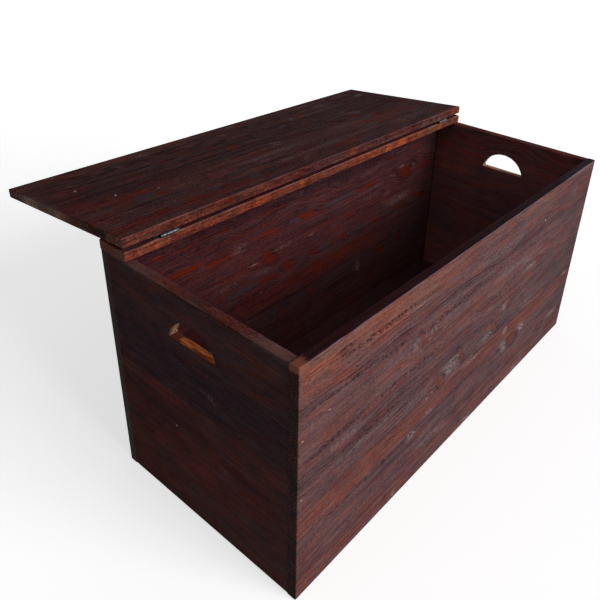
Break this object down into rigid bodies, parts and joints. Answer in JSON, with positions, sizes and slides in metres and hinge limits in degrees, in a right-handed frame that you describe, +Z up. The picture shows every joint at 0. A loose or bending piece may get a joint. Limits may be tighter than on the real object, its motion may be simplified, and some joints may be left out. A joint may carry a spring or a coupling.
{
  "type": "lidded storage chest",
  "caption": "Long boxy chest of edge-glued stained boards with a hinged plank lid laid fully open, a fixed hinge strip at the rear and a D-shaped hand-hole in each end.",
  "frame": {"origin": "on the ground, in the middle of the front panel's bottom edge: half-way along the chest and half-way through the front board's thickness", "axes": "+X along the chest, +Y from the front to the rear, +Z up"},
  "size_m": [1, 0.7332, 0.507],
  "materials": {
    "stained_front": "dark red-brown stain, wiped thin, satin, on edge-glued pine",
    "stained_rear": "dark red-brown stain, wiped thin, satin, on edge-glued pine",
    "stained_end": "dark red-brown stain, wiped thin, satin, on edge-glued pine",
    "stained_floor": "dark red-brown stain, wiped thin, satin, on edge-glued pine",
    "stained_strip": "dark red-brown stain, wiped thin, satin, on edge-glued pine",
    "stained_lid": "dark red-brown stain, wiped thin, satin, on edge-glued pine",
    "bare_cleat": "sawn pine, unstained",
    "zinc_hinge": "zinc-plated, dull bright",
    "zinc_screws": "zinc-plated, dull bright",
    "bright_brads": "bright flat wire"
  },
  "bodies": {
    "chest": {"front_panel": "stained_front", "rear_panel": "stained_rear", "left_end_panel": "stained_end", "right_end_panel": "stained_end", "floor_panel": "stained_floor", "front_floor_cleat": "bare_cleat", "rear_floor_cleat": "bare_cleat", "left_floor_cleat": "bare_cleat", "right_floor_cleat": "bare_cleat", "hinge_strip": "stained_strip", "left_strip_leaf": "zinc_hinge", "right_strip_leaf": "zinc_hinge", "left_hinge_pin": "zinc_hinge", "right_hinge_pin": "zinc_hinge", "strip_leaf_screws": "zinc_screws", "front_corner_brads": "bright_brads", "rear_corner_brads": "bright_brads", "strip_brads": "bright_brads", "floor_brads": "bright_brads", "cleat_brads": "bright_brads"},
    "lid": {"lid_panel": "stained_lid", "left_lid_leaf": "zinc_hinge", "right_lid_leaf": "zinc_hinge", "lid_leaf_screws": "zinc_screws"}
  },
  "joints": [
    {"name": "lid_hinge", "type": "hinge", "parent": "chest", "child": "lid", "pos_m": [0, 0.35875, 0.48635], "axis": [1, 0, 0], "range_deg": [0, 185.3]}
  ]
}
